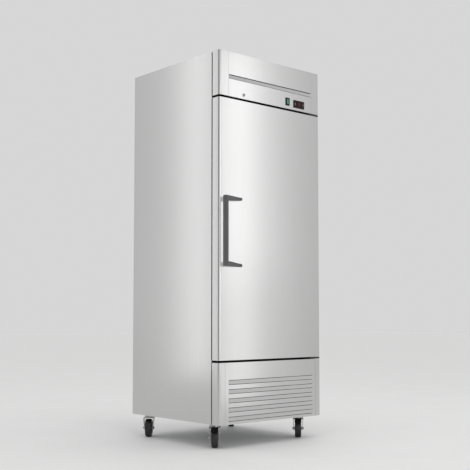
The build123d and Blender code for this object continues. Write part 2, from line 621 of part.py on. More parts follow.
with BuildPart() as door_handle:
    with BuildSketch(Plane.XY.offset(HANDLE_Z0)):
        with Locations((GRIP_X, FACE_Y - HANDLE_REACH + GRIP_D / 2)):
            RectangleRounded(GRIP_W, GRIP_D, GRIP_R)
    extrude(amount=HANDLE_Z1 - HANDLE_Z0)
    fillet(door_handle.edges().group_by(Axis.Z)[0] + door_handle.edges().group_by(Axis.Z)[-1], 3.0)
    for top in (False, True):
        handle_leg(top)
        foot_z = HANDLE_Z1 - FOOT_R - 1.5 if top else HANDLE_Z0 + FOOT_R + 1.5
        rod(FOOT_X, FACE_Y, foot_z, FOOT_R + 1.5, 11.5, "-Y")
    for z in (HANDLE_Z0 + 11.0, HANDLE_Z1 - 11.0):
        rod(FOOT_X, FACE_Y, z, 2.5, 8.0, "-Y", mode=Mode.SUBTRACT)
save(door_handle.part, "door_handle")

with BuildPart() as handle_screws:
    for z in (HANDLE_Z0 + 11.0, HANDLE_Z1 - 11.0):
        rod(FOOT_X, FACE_Y + SHEET, z, 4.6, 4.0, "+Y")
        rod(FOOT_X, FACE_Y + SHEET, z, 2.5, 8.0, "-Y")
save(handle_screws.part, "handle_screws")

# ---------------------------------------------------------------- shelving
with BuildPart() as shelf_pilasters:
    for side in (-1, 1):
        x0, x1 = sorted((side * CAVITY_X, side * (CAVITY_X - PILASTER_T)))
        for y in PILASTER_Y:
            block(x0, x1, y - PILASTER_W / 2, y + PILASTER_W / 2, PILASTER_Z0, PILASTER_Z1)
            slot_z = PILASTER_Z0 + 25.0
            while slot_z < PILASTER_Z1 - 20.0:
                block(x0 - 1.0, x1 + 1.0, y - 5.0, y + 5.0, slot_z, slot_z + 4.0, mode=Mode.SUBTRACT)
                slot_z += 50.0
save(shelf_pilasters.part, "shelf_pilasters")

SHELF_FRAME_R, SHELF_WIRE_R = 4.0, 2.0
with BuildPart() as shelf_clips:
    for shelf_z in SHELF_Z.values():
        for side in (-1, 1):
            for y in PILASTER_Y:
                wall_x, tip_x = side * (CAVITY_X - PILASTER_T), side * (CAVITY_X - 24.0)
                low = shelf_z - SHELF_FRAME_R - 0.05
                x0, x1 = sorted((wall_x, tip_x))
                block(x0, x1, y - 8.0, y + 8.0, low - 2.0, low)
                x0, x1 = sorted((wall_x, wall_x - side * 2.0))
                block(x0, x1, y - 8.0, y + 8.0, low - 22.0, low)
save(shelf_clips.part, "shelf_clips")

for shelf_name, shelf_z in SHELF_Z.items():
    with BuildPart() as shelf:
        half, y_mid = SHELF_W / 2 - SHELF_FRAME_R, (SHELF_Y0 + SHELF_Y1) / 2
        for y in (SHELF_Y0 + SHELF_FRAME_R, y_mid, SHELF_Y1 - SHELF_FRAME_R):
            rod(-half, y, shelf_z, SHELF_FRAME_R, 2 * half, "+X")
        for x in (-half, half):
            rod(x, SHELF_Y0 + SHELF_FRAME_R, shelf_z, SHELF_FRAME_R, SHELF_Y1 - SHELF_Y0 - 8.0, "+Y")
            for y in (SHELF_Y0 + SHELF_FRAME_R, SHELF_Y1 - SHELF_FRAME_R):
                with Locations((x, y, shelf_z)):
                    Sphere(SHELF_FRAME_R)
        wires = 21
        for i in range(1, wires):
            x = -half + 2 * half * i / wires
            rod(x, SHELF_Y0 + 3.0, shelf_z + 4.5, SHELF_WIRE_R, SHELF_Y1 - SHELF_Y0 - 6.0, "+Y")
    save(shelf.part, shelf_name)

# ---------------------------------------------------------------- evaporator, above the food compartment
EVAP_TOP = CAVITY_Z1
with BuildPart() as evaporator_cover:
    block(-EVAP_X, EVAP_X, EVAP_Y0, EVAP_Y1, EVAP_Z0, EVAP_TOP)
    block(
        -EVAP_X + SHEET, EVAP_X - SHEET, EVAP_Y0 + SHEET, EVAP_Y1 - SHEET, EVAP_Z0 + SHEET, EVAP_TOP + 1.0,
        mode=Mode.SUBTRACT,
    )
    rod(0, EVAP_Y0 - 1.0, EVAP_FAN_Z, EVAP_FAN_R + 6.0, 4.0, "+Y", mode=Mode.SUBTRACT)
    # wire finger guard over the fan, and the outlet slots at the back
    for radius in (24.0, 48.0, EVAP_FAN_R + 8.0):
        with BuildSketch(Plane((0, EVAP_Y0, EVAP_FAN_Z), z_dir=(0, -1, 0))):
            Circle(radius + 1.5)
            Circle(radius - 1.5, mode=Mode.SUBTRACT)
        extrude(amount=3.0)
    for turn in (0, 60, 120):
        with Locations(Location((0, EVAP_Y0 - 1.5, EVAP_FAN_Z), (0, turn, 0))):
            Box(2 * EVAP_FAN_R + 20.0, 3.0, 2.4)
    for i in range(4):
        slot_z = EVAP_Z0 + 50.0 + 24.0 * i
        block(-200.0, 200.0, EVAP_Y1 - 3.0, EVAP_Y1 + 3.0, slot_z, slot_z + 8.0, mode=Mode.SUBTRACT)
    for x, leave_z, radius in WALL_PIPES:
        rod(x, EVAP_Y1 - 3.0, leave_z, radius + LOOSE, 6.0, "+Y", mode=Mode.SUBTRACT)
save(evaporator_cover.part, "evaporator_cover")


def finned_coil(x_mid, y0, z0, width, deep, tall, fins, rows, columns, tube_r):
    """Fin-and-tube coil: upright fins between two end plates, on straight tubes along X."""
    for i in range(fins):
        x = x_mid - width / 2 + (width - 1.2) * i / (fins - 1)
        block(x, x + 1.2, y0, y0 + deep, z0, z0 + tall)
    for row in range(rows):
        for column in range(columns):
            y = y0 + deep * (column + 0.5) / columns
            z = z0 + tall * (row + 0.5) / rows
            rod(x_mid - width / 2 - 6.0, y, z, tube_r, width + 12.0, "+X")


with BuildPart() as evaporator_coil:
    finned_coil(
        EVAP_COIL_X, EVAP_COIL_Y0, EVAP_COIL_Z0, EVAP_COIL_W, EVAP_COIL_D, EVAP_COIL_H, 33, 4, 4, 5.0
    )
save(evaporator_coil.part, "evaporator_coil")

MOTOR_R, SHAFT_R = 34.0, 3.0
CONDENSER_MOTOR_Y = CONDENSER_Y0 + CONDENSER_D + 84.0
with BuildPart() as fan_motors:
    for x, y, z, bracket in (
        (0.0, EVAP_FAN_Y + 28.0, EVAP_FAN_Z, EVAP_Z0 + SHEET),
        (CONDENSER_X, CONDENSER_MOTOR_Y, CONDENSER_Z, FLOOR_Z),
    ):
        rod(x, y, z, MOTOR_R, 44.0, "+Y")
        rod(x, y, z, SHAFT_R, 30.0, "-Y")
        block(x - 20.0, x + 20.0, y + 12.0, y + 32.0, bracket, z)
        block(x - 45.0, x + 45.0, y + 2.0, y + 42.0, bracket, bracket + 3.0)
save(fan_motors.part, "fan_motors")


def fan_blades(x, y, z, radius, blades, hub_r, deep, width):
    """Axial fan about an axis along Y: a hub bored for its shaft, and flat blades set at an angle."""
    rod(x, y, z, hub_r, deep, "+Y")
    root, tip = hub_r - 4.0, radius - 4.0
    for i in range(blades):
        with Locations(Location((x, y + deep / 2, z), (0, 360.0 * i / blades, 0))):
            with Locations(Location(((root + tip) / 2, 0, 0), (32.0, 0, 0))):
                Box(tip - root, 2.0, width)
    rod(x, y - 1.0, z, SHAFT_R + RUNNING, deep - 2.0 + 10.0, "+Y", mode=Mode.SUBTRACT)


with BuildPart() as evaporator_fan:
    fan_blades(0.0, EVAP_FAN_Y, EVAP_FAN_Z, EVAP_FAN_R, 5, 17.0, 22.0, 38.0)
save(evaporator_fan.part, "evaporator_fan")

with BuildPart() as condenser_fan:
    fan_blades(CONDENSER_X, CONDENSER_MOTOR_Y - 30.0, CONDENSER_Z, FAN_R, 4, 22.0, 24.0, 54.0)
save(condenser_fan.part, "condenser_fan")

with BuildPart() as interior_light:
    block(-180.0, 180.0, HEADER_Y, HEADER_Y + 14.0, 1850.0, 1874.0)
    fillet(interior_light.edges().filter_by(Axis.X).group_by(Axis.Y)[-1], 5.0)
save(interior_light.part, "interior_light")


def pipe(points, radius, bend, bore=0.0):
    """Round pipe along a route whose corners are bent to one radius; a bore makes it hollow."""
    with BuildLine() as route:
        FilletPolyline(*points, radius=bend)
    start = Vector(*points[0])
    with BuildSketch(Plane(start, z_dir=Vector(*points[1]) - start)) as section:
        Circle(radius)
        if bore:
            Circle(bore, mode=Mode.SUBTRACT)
    sweep(section.sketch, path=route.wires()[0])


# ---------------------------------------------------------------- machine compartment
PAN_X0, PAN_X1, PAN_Y0, PAN_Y1, PAN_H = -310.0, -110.0, 240.0, 398.0, 70.0
with BuildPart() as drain_tube:
    drain_route = (
        (DRAIN_X, EVAP_Y1 - 12.0, DRAIN_Z),
        (DRAIN_X, PIPE_Y, DRAIN_Z),
        (DRAIN_X, PIPE_Y, FLOOR_Z + 30.0),
    )
    pipe(drain_route, DRAIN_R, 24.0, bore=DRAIN_R - 2.0)
save(drain_tube.part, "drain_tube")

with BuildPart() as condensate_pan:
    block(PAN_X0, PAN_X1, PAN_Y0, PAN_Y1, FLOOR_Z, FLOOR_Z + PAN_H)
    block(
        PAN_X0 + 1.5, PAN_X1 - 1.5, PAN_Y0 + 1.5, PAN_Y1 - 1.5, FLOOR_Z + 1.5, FLOOR_Z + PAN_H + 1.0,
        mode=Mode.SUBTRACT,
    )
save(condensate_pan.part, "condensate_pan")

COMPRESSOR_Z0 = FLOOR_Z + 16.0
with BuildPart() as compressor:
    rod(COMPRESSOR_X, COMPRESSOR_Y, COMPRESSOR_Z0 + 8.0, COMPRESSOR_R, COMPRESSOR_H, "+Z")
    fillet(compressor.edges().group_by(Axis.Z)[-1], 40.0)
    fillet(compressor.edges().group_by(Axis.Z)[0], 20.0)
    rod(COMPRESSOR_X, COMPRESSOR_Y, COMPRESSOR_Z0 + 100.0, COMPRESSOR_R + 3.0, 10.0, "+Z")
    block(
        COMPRESSOR_X - 100.0, COMPRESSOR_X + 100.0, COMPRESSOR_Y - 80.0, COMPRESSOR_Y + 80.0,
        COMPRESSOR_Z0, COMPRESSOR_Z0 + 4.0,
    )
    rod(COMPRESSOR_X, COMPRESSOR_Y, COMPRESSOR_Z0, 40.0, 30.0, "+Z")
    block(
        COMPRESSOR_X - 112.0, COMPRESSOR_X - 60.0, COMPRESSOR_Y - 28.0, COMPRESSOR_Y + 28.0,
        COMPRESSOR_Z0 + 50.0, COMPRESSOR_Z0 + 130.0,
    )
    for sx in (-1, 1):
        for sy in (-1, 1):
            x, y = COMPRESSOR_X + 86.0 * sx, COMPRESSOR_Y + 66.0 * sy
            rod(x, y, COMPRESSOR_Z0 - 1.0, 6.0, 8.0, "+Z", mode=Mode.SUBTRACT)
save(compressor.part, "compressor")

with BuildPart() as compressor_mounts:
    for sx in (-1, 1):
        for sy in (-1, 1):
            x, y = COMPRESSOR_X + 86.0 * sx, COMPRESSOR_Y + 66.0 * sy
            rod(x, y, FLOOR_Z, 12.0, 16.0, "+Z")
            rod(x, y, FLOOR_Z, 6.0, 26.0, "+Z")
save(compressor_mounts.part, "compressor_mounts")

with BuildPart() as condenser_coil:
    finned_coil(
        CONDENSER_X, CONDENSER_Y0, FLOOR_Z, CONDENSER_W, CONDENSER_D, CONDENSER_H, 41,
        CONDENSER_ROWS, CONDENSER_COLUMNS, 4.8,
    )
save(condenser_coil.part, "condenser_coil")

SHROUD_Y = CONDENSER_Y0 + CONDENSER_D
with BuildPart() as condenser_shroud:
    x0, x1 = CONDENSER_X - CONDENSER_W / 2, CONDENSER_X + CONDENSER_W / 2
    block(x0, x1, SHROUD_Y, SHROUD_Y + 36.0, FLOOR_Z, FLOOR_Z + CONDENSER_H)
    block(
        x0 + 1.5, x1 - 1.5, SHROUD_Y - 1.0, SHROUD_Y + 34.5, FLOOR_Z + 1.5, FLOOR_Z + CONDENSER_H - 1.5,
        mode=Mode.SUBTRACT,
    )
    rod(CONDENSER_X, SHROUD_Y + 34.5, CONDENSER_Z, FAN_R + 10.0, 36.0, "+Y")
    rod(CONDENSER_X, SHROUD_Y + 30.0, CONDENSER_Z, FAN_R + 8.0, 60.0, "+Y", mode=Mode.SUBTRACT)
save(condenser_shroud.part, "condenser_shroud")

LINE_R, CAPILLARY_R = 4.0, 1.5
ROW_PITCH, COLUMN_PITCH = CONDENSER_H / CONDENSER_ROWS, CONDENSER_D / CONDENSER_COLUMNS
COIL_END_X = CONDENSER_X + CONDENSER_W / 2 + 6.0
DRIER_X, DRIER_Y, DRIER_Z = 150.0, -60.0, FLOOR_Z + 1.5 * ROW_PITCH
DRIER_R, DRIER_L = 14.0, 88.0
with BuildPart() as refrigerant_lines:
    # hot gas from the compressor to the top of the condenser
    hot_x, hot_y, hot_z = COMPRESSOR_X + 40.0, CONDENSER_Y0 + 1.5 * COLUMN_PITCH, FLOOR_Z + 7.5 * ROW_PITCH
    hot_start_y = COMPRESSOR_Y - sqrt(COMPRESSOR_R**2 - 40.0**2) - 2.2
    pipe(
        (
            (hot_x, hot_start_y, 290.0),
            (hot_x, -100.0, 290.0),
            (hot_x, -100.0, hot_z),
            (hot_x, hot_y, hot_z),
            (COIL_END_X, hot_y, hot_z),
        ),
        LINE_R,
        14.0,
    )
    # liquid to the filter drier, which feeds the capillary
    liquid_y = CONDENSER_Y0 + COLUMN_PITCH / 2
    pipe(
        (
            (COIL_END_X, liquid_y, DRIER_Z),
            (DRIER_X - 25.0, liquid_y, DRIER_Z),
            (DRIER_X - 25.0, DRIER_Y, DRIER_Z),
            (DRIER_X + 2.0, DRIER_Y, DRIER_Z),
        ),
        LINE_R,
        8.0,
    )
    rod(DRIER_X, DRIER_Y, DRIER_Z, DRIER_R, DRIER_L, "+X")
    pipe(
        (
            (DRIER_X + DRIER_L - 2.0, DRIER_Y, DRIER_Z),
            (318.0, DRIER_Y, DRIER_Z),
            (318.0, PIPE_Y, DRIER_Z),
            (318.0, PIPE_Y, 425.0),
            (SUCTION_X, PIPE_Y, 425.0),
        ),
        CAPILLARY_R,
        10.0,
    )
    # cold gas back down to the compressor, with the capillary soldered to it
    coil_y = EVAP_COIL_Y0 + EVAP_COIL_D * 7 / 8
    pipe(
        (
            (COMPRESSOR_X + 12.0, COMPRESSOR_Y + 30.0, COMPRESSOR_Z0 + 8.0 + COMPRESSOR_H),
            (COMPRESSOR_X + 12.0, COMPRESSOR_Y + 30.0, 400.0),
            (SUCTION_X, PIPE_Y, 400.0),
            (SUCTION_X, PIPE_Y, SUCTION_Z),
            (SUCTION_X, coil_y, SUCTION_Z),
            (EVAP_COIL_X + EVAP_COIL_W / 2 + 6.0, coil_y, SUCTION_Z),
        ),
        SUCTION_R,
        12.0,
    )
save(refrigerant_lines.part, "refrigerant_lines")

with BuildPart() as electrical_box:
    block(-345.0, -240.0, -90.0, 60.0, FLOOR_Z, FLOOR_Z + 150.0)
    fillet(electrical_box.edges().filter_by(Axis.Z), 3.0)
    rod(-290.0, 60.0, FLOOR_Z + 60.0, 8.0, 8.0, "+Y")
save(electrical_box.part, "electrical_box")

# ---------------------------------------------------------------- casters
PLATE_T, PLATE_X, PLATE_Y = 4.0, 60.0, 86.0
CROWN_Z, CROWN_T, RACE_R = WHEEL_R + 54.0, 4.0, 27.0
FORK_T = 3.0
# fork leg at its upper and lower end: height, inner face, middle and length along the caster
FORK_LEG = (
    (CROWN_Z + CROWN_T, 27.0, 21.0, 70.0),
    (WHEEL_R - 12.0, 21.0, TRAIL, 18.0),
)
BOLT_IN, BOLT_LENGTH = 24.5, 7.5  # axle bolt head and nut, from the middle of the wheel
PEDAL_X, PEDAL_Z, PEDAL_HALF = TRAIL + 18.0, WHEEL_R + 53.0, 19.0  # pivot and half width of the brake pedal
PIVOT_HALF, PEDAL_PIN_R = 28.0, 2.0  # pin that the brake pedal turns on
PEDAL_BOSS_R = 4.5

with BuildPart() as caster_plates:
    for x, y, *_ in CASTERS.values():
        block(x - PLATE_X / 2, x + PLATE_X / 2, y - PLATE_Y / 2, y + PLATE_Y / 2, BASE_Z - PLATE_T, BASE_Z)
        rod(x, y, BASE_Z - PLATE_T, 25.0, 5.0, "-Z")
        rod(x, y, BASE_Z - PLATE_T - 5.0, AXLE_R, 14.0, "-Z")
        for bolt_x in (-22.0, 22.0):
            for bolt_y in (-34.0, 34.0):
                rod(x + bolt_x, y + bolt_y, BASE_Z - PLATE_T, 5.0, 4.0, "-Z")
save(caster_plates.part, "caster_plates")


def caster_frame(name):
    """Working plane of a caster: its X runs from the kingpin to the wheel, its origin is on the floor."""
    x, y, turn, _ = CASTERS[name]
    direction = (sin(radians(turn)), -cos(radians(turn)), 0)
    return Plane((x, y, 0), x_dir=direction, z_dir=(0, 0, 1))


def side_plane(frame, offset):
    """Plane that holds the wheel's disc, moved along its axle."""
    return Plane(
        frame.origin + frame.y_dir * offset, x_dir=frame.x_dir, z_dir=-frame.y_dir
    )


def fork_leg(frame, side):
    """Flat fork leg, splayed and tapered from the crown down to the axle. side is -1 or 1."""
    sections = []
    for z, inner, middle, length in FORK_LEG:
        with BuildSketch(frame.offset(z)) as section:
            with Locations((middle, side * (inner + FORK_T / 2))):
                Rectangle(length, FORK_T)
        sections.append(section.sketch)
    loft(sections, ruled=True)


for caster_name, (*_, braked) in CASTERS.items():
    frame = caster_frame(caster_name)
    with BuildPart() as fork:
        with BuildSketch(frame.offset(CROWN_Z)):
            Circle(RACE_R + 2.0)
            with Locations((14.0, 0)):
                Rectangle(52.0, 2 * (FORK_LEG[0][1] + FORK_T))
        extrude(amount=CROWN_T)
        with BuildSketch(frame.offset(CROWN_Z + CROWN_T)):
            Circle(RACE_R)
        extrude(amount=BASE_Z - PLATE_T - 5.0 - CROWN_Z - CROWN_T - 0.3)
        for side in (-1, 1):
            fork_leg(frame, side)
        # axle bolt with its head and nut, and the bore over the kingpin
        for outer in (BOLT_IN + BOLT_LENGTH, -BOLT_IN):
            with BuildSketch(side_plane(frame, outer)):
                with Locations((TRAIL, WHEEL_R)):
                    RegularPolygon(8.0, 6)
            extrude(amount=BOLT_LENGTH)
        with BuildSketch(side_plane(frame, BOLT_IN)):
            with Locations((TRAIL, WHEEL_R)):
                Circle(AXLE_R)
        extrude(amount=2 * BOLT_IN)
        with BuildSketch(frame.offset(CROWN_Z - 1.0)):
            Circle(AXLE_R + RUNNING)
        extrude(amount=20.0, mode=Mode.SUBTRACT)
        if braked:
            with BuildSketch(side_plane(frame, PIVOT_HALF)):
                with Locations((PEDAL_X, PEDAL_Z)):
                    Circle(PEDAL_PIN_R)
            extrude(amount=2 * PIVOT_HALF)
    save(fork.part, f"{caster_name}_fork")

    with BuildPart() as wheel:
        wheel_plane = side_plane(frame, WHEEL_W / 2)
        with BuildSketch(wheel_plane):
            with Locations((TRAIL, WHEEL_R)):
                Circle(WHEEL_R)
        extrude(amount=WHEEL_W)
        fillet(wheel.edges(), 5.0)
        # dished faces between the hub and the tyre, then the axle bore
        for offset in (WHEEL_W / 2 + 1.0, -WHEEL_W / 2 + 5.0):
            with BuildSketch(side_plane(frame, offset)):
                with Locations((TRAIL, WHEEL_R)):
                    Circle(36.0)
                    Circle(13.0, mode=Mode.SUBTRACT)
            extrude(amount=6.0, mode=Mode.SUBTRACT)
        for offset in (WHEEL_W / 2 + 2.0, -WHEEL_W / 2 + 5.0):
            with BuildSketch(side_plane(frame, offset)):
                with Locations((TRAIL, WHEEL_R)):
                    Circle(12.0)
            extrude(amount=7.0)
        with BuildSketch(side_plane(frame, WHEEL_W)):
            with Locations((TRAIL, WHEEL_R)):
                Circle(AXLE_R + RUNNING)
        extrude(amount=2 * WHEEL_W, mode=Mode.SUBTRACT)
    save(wheel.part, f"{caster_name}_wheel")

    if braked:
        with BuildPart() as pedal:
            with BuildSketch(side_plane(frame, PEDAL_HALF)):
                with BuildLine():
                    Polyline(
                        (PEDAL_X, PEDAL_Z + PEDAL_BOSS_R),
                        (PEDAL_X + 8.0, PEDAL_Z + PEDAL_BOSS_R),
                        (PEDAL_X + 20.0, PEDAL_Z),
                        (PEDAL_X + 34.0, PEDAL_Z - 13.0),
                        (PEDAL_X + 32.0, PEDAL_Z - 17.0),
                        (PEDAL_X, PEDAL_Z - PEDAL_BOSS_R),
                        close=True,
                    )
                make_face()
                with Locations((PEDAL_X, PEDAL_Z)):
                    Circle(PEDAL_BOSS_R)
                    Circle(PEDAL_PIN_R + RUNNING, mode=Mode.SUBTRACT)
            extrude(amount=2 * PEDAL_HALF)
        save(pedal.part, f"{caster_name}_brake")
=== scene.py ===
"""Looks, light and camera for the one-door reach-in refrigerator. Metres, same frame as the CAD part."""
import json
from math import cos, pi, radians, sin

import bpy
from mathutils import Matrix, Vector


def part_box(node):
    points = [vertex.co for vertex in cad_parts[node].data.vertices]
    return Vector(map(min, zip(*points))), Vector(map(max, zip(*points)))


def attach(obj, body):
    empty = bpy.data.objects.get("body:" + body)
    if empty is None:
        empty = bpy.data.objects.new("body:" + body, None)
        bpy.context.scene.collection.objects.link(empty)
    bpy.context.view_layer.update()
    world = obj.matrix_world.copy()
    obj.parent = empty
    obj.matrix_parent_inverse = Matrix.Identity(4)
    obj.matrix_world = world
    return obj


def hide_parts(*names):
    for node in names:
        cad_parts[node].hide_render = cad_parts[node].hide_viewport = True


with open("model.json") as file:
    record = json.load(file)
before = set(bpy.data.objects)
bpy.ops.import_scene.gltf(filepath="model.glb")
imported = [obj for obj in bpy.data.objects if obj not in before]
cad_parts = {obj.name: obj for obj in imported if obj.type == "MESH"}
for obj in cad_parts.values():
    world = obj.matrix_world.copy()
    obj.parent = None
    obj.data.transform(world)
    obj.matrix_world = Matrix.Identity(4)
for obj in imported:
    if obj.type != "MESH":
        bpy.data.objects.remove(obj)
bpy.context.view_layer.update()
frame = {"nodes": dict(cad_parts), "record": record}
nodes = frame["nodes"]
scene = bpy.context.scene


# ---------------------------------------------------------------- shader helpers
class Shader:
    """A Principled material whose inputs are fed by procedural nodes in the object's own space."""

    def __init__(self, name, metallic=0.0, **constants):
        self.mat = bpy.data.materials.new(name)
        self.mat.use_nodes = True
        self.tree = self.mat.node_tree
        self.bsdf = self.tree.nodes["Principled BSDF"]
        self.bsdf.inputs["Metallic"].default_value = metallic
        for key, value in constants.items():
            self.bsdf.inputs[key.replace("_", " ")].default_value = value
        self.coord = self.node("ShaderNodeTexCoord").outputs["Object"]

    def node(self, kind, **settings):
        n = self.tree.nodes.new(kind)
        for key, value in settings.items():
            setattr(n, key, value)
        return n

    def link(self, a, b):
        self.tree.links.new(a, b)

    def noise(self, scale, stretch=(1, 1, 1), detail=3.0, rough=0.5):
        place = self.node("ShaderNodeMapping")
        place.inputs["Scale"].default_value = stretch
        self.link(self.coord, place.inputs["Vector"])
        n = self.node("ShaderNodeTexNoise")
        n.inputs["Scale"].default_value = scale
        n.inputs["Detail"].default_value = detail
        n.inputs["Roughness"].default_value = rough
        self.link(place.outputs["Vector"], n.inputs["Vector"])
        return n.outputs["Fac"]

    def spread(self, value, low, high, from_low=0.3, from_high=0.7):
        n = self.node("ShaderNodeMapRange")
        for key, v in (("From Min", from_low), ("From Max", from_high), ("To Min", low), ("To Max", high)):
            n.inputs[key].default_value = v
        self.link(value, n.inputs["Value"])
        return n.outputs["Result"]

    def mix(self, value, a, b):
        n = self.node("ShaderNodeMix", data_type="RGBA")
        self.link(value, n.inputs["Factor"])
        for socket, v in ((n.inputs[6], a), (n.inputs[7], b)):
            if isinstance(v, tuple):
                socket.default_value = (*v[:3], 1.0)
            else:
                self.link(v, socket)
        return n.outputs[2]

    def colour(self, socket):
        self.link(socket, self.bsdf.inputs["Base Color"])

    def roughness(self, socket):
        self.link(socket, self.bsdf.inputs["Roughness"])

    def bump(self, height, distance, strength=1.0, after=None):
        n = self.node("ShaderNodeBump")
        n.inputs["Distance"].default_value = distance
        n.inputs["Strength"].default_value = strength
        self.link(height, n.inputs["Height"])
        if after is not None:
            self.link(after, n.inputs["Normal"])
        self.link(n.outputs["Normal"], self.bsdf.inputs["Normal"])
        return n.outputs["Normal"]


def shade(c, k):
    return tuple(min(1.0, v * k) for v in c[:3])


def brushed(name, base, rough, grain=(420, 420, 3), depth=0.000012, wave=0.0):
    """Brushed sheet: fine lines along one axis, broad soft tone changes, faint waviness of thin sheet."""
    s = Shader(name, metallic=1.0)
    lines = s.noise(1.0, stretch=grain, detail=4.0, rough=0.6)
    broad = s.noise(1.3, detail=2.0)
    tone = s.mix(s.spread(lines, 0.0, 1.0), shade(base, 0.985), shade(base, 1.015))
    s.colour(s.mix(s.spread(broad, 0.0, 0.35), tone, shade(base, 0.96)))
    s.roughness(s.spread(lines, rough - 0.02, rough + 0.03))
    ripple = s.bump(lines, depth, 0.25)
    if wave:
        s.bump(s.noise(1.1, stretch=(1.0, 1.0, 0.45), detail=1.0), wave, 1.0, after=ripple)
    return s.mat


def plastic(name, base, rough, grain=900.0, depth=0.00004, **constants):
    """Moulded plastic: fine spark texture, slight tone and gloss changes."""
    s = Shader(name, **constants)
    fine = s.noise(grain, detail=2.0)
    broad = s.noise(14.0, detail=3.0)
    s.colour(s.mix(s.spread(broad, 0.0, 1.0), shade(base, 0.88), shade(base, 1.12)))
    s.roughness(s.spread(broad, rough - 0.05, rough + 0.08))
    s.bump(fine, depth, 0.5)
    return s.mat


def plated(name, base, rough, metallic=1.0, spangle=60.0):
    """Plated or galvanised steel: crystal-sized tone patches and fine scratches."""
    s = Shader(name, metallic=metallic)
    cells = s.node("ShaderNodeTexVoronoi")
    cells.inputs["Scale"].default_value = spangle
    s.link(s.coord, cells.inputs["Vector"])
    grey = s.node("ShaderNodeRGBToBW")
    s.link(cells.outputs["Color"], grey.inputs["Color"])
    scratch = s.noise(1.0, stretch=(300, 40, 700), detail=3.0)
    tone = s.mix(s.spread(grey.outputs["Val"], 0.0, 1.0, 0.1, 0.9), shade(base, 0.86), shade(base, 1.1))
    s.colour(s.mix(s.spread(scratch, 0.0, 0.25), tone, shade(base, 0.7)))
    s.roughness(s.spread(grey.outputs["Val"], rough - 0.07, rough + 0.09, 0.1, 0.9))
    s.bump(scratch, 0.00002, 0.4)
    return s.mat


STEEL = (0.60, 0.60, 0.598)
M = {
    "sheet": brushed("stainless_vertical", STEEL, 0.19, wave=0.0002),
    "liner": brushed("liner_aluminium", (0.70, 0.71, 0.72), 0.38, grain=(300, 300, 5)),
    "galvanised": plated("galvanised", (0.52, 0.53, 0.54), 0.42),
    "zinc": plated("bright_zinc", (0.46, 0.46, 0.455), 0.24, spangle=240.0),
    "black": plastic("black_plastic", (0.008, 0.008, 0.009), 0.5, Specular_IOR_Level=0.12),
    "grey": plastic("grey_plastic", (0.30, 0.295, 0.285), 0.45),
    "pale": plastic("pale_plastic", (0.72, 0.72, 0.70), 0.4),
    "window": plastic("display_window", (0.008, 0.006, 0.006), 0.2, depth=0.0, Specular_IOR_Level=0.15),
    "handle": plastic("handle_coat", (0.095, 0.095, 0.097), 0.42, grain=1400.0),
    "gasket": plastic("gasket_rubber", (0.02, 0.02, 0.021), 0.6),
    "tyre": plastic("wheel_rubber", (0.012, 0.012, 0.013), 0.36, grain=500.0),
    "wire": plastic("shelf_coat", (0.74, 0.74, 0.72), 0.35, grain=700.0),
    "fins": brushed("coil_fins", (0.68, 0.69, 0.70), 0.4, grain=(5, 300, 300)),
    "copper": plated("drawn_copper", (0.72, 0.36, 0.22), 0.3, spangle=90.0),
    "enamel": plastic("compressor_enamel", (0.012, 0.012, 0.013), 0.3, grain=300.0, Coat_Weight=0.3),
    "foam": plastic("foam", (0.72, 0.6, 0.32), 0.9, grain=260.0, depth=0.0004),
}


def glowing(name, base, rough, glow, strength):
    """Plastic that is lit from behind."""
    mat = plastic(name, base, rough)
    bsdf = mat.node_tree.nodes["Principled BSDF"]
    bsdf.inputs["Emission Color"].default_value = (*glow, 1.0)
    bsdf.inputs["Emission Strength"].default_value = strength
    return mat


def painted_pale_reflection(mat, tone, amount):
    """Painted reflection: glossy rays see the dark piece as a pale glow, so the sheet behind mirrors it only
    faintly.
    """
    tree = mat.node_tree
    bsdf = tree.nodes["Principled BSDF"]
    path = tree.nodes.new("ShaderNodeLightPath")
    share = tree.nodes.new("ShaderNodeMath")
    share.operation = "MULTIPLY"
    share.inputs[1].default_value = amount
    # pale glow that only glossy rays see: the painted reflection
    pale = tree.nodes.new("ShaderNodeEmission")
    pale.inputs["Color"].default_value = (*tone, 1.0)
    blend = tree.nodes.new("ShaderNodeMixShader")
    tree.links.new(path.outputs["Is Glossy Ray"], share.inputs[0])
    tree.links.new(share.outputs[0], blend.inputs["Fac"])
    tree.links.new(bsdf.outputs["BSDF"], blend.inputs[1])
    tree.links.new(pale.outputs["Emission"], blend.inputs[2])
    tree.links.new(blend.outputs["Shader"], tree.nodes["Material Output"].inputs["Surface"])


# painted reflection: the handle shows as a pale glow in the sheets that mirror it
painted_pale_reflection(M["handle"], (0.75, 0.75, 0.75), 0.85)
M["green"] = glowing("green_lens", (0.02, 0.13, 0.08), 0.35, (0.11, 0.62, 0.38), 0.13)
M["digit"] = glowing("red_digit", (0.2, 0.01, 0.008), 0.3, (1.0, 0.06, 0.03), 0.13)
M["lamp"] = plastic("lamp_diffuser", (0.85, 0.85, 0.82), 0.5)
M["bezel"] = plastic("bezel_plastic", (0.020, 0.015, 0.014), 0.45, Specular_IOR_Level=0.12)
M["nickel"] = plated("black_nickel", (0.33, 0.33, 0.335), 0.3, spangle=300.0)
M["hub"] = plastic("hub_plastic", (0.09, 0.09, 0.092), 0.45)
M["white_mark"] = plastic("white_mark", (0.75, 0.75, 0.74), 0.5)
M["key"] = plastic("key_plastic", (0.055, 0.050, 0.048), 0.45, Specular_IOR_Level=0.2)
M["grey_card"] = plastic("grey_card", (0.50, 0.50, 0.50), 0.9)

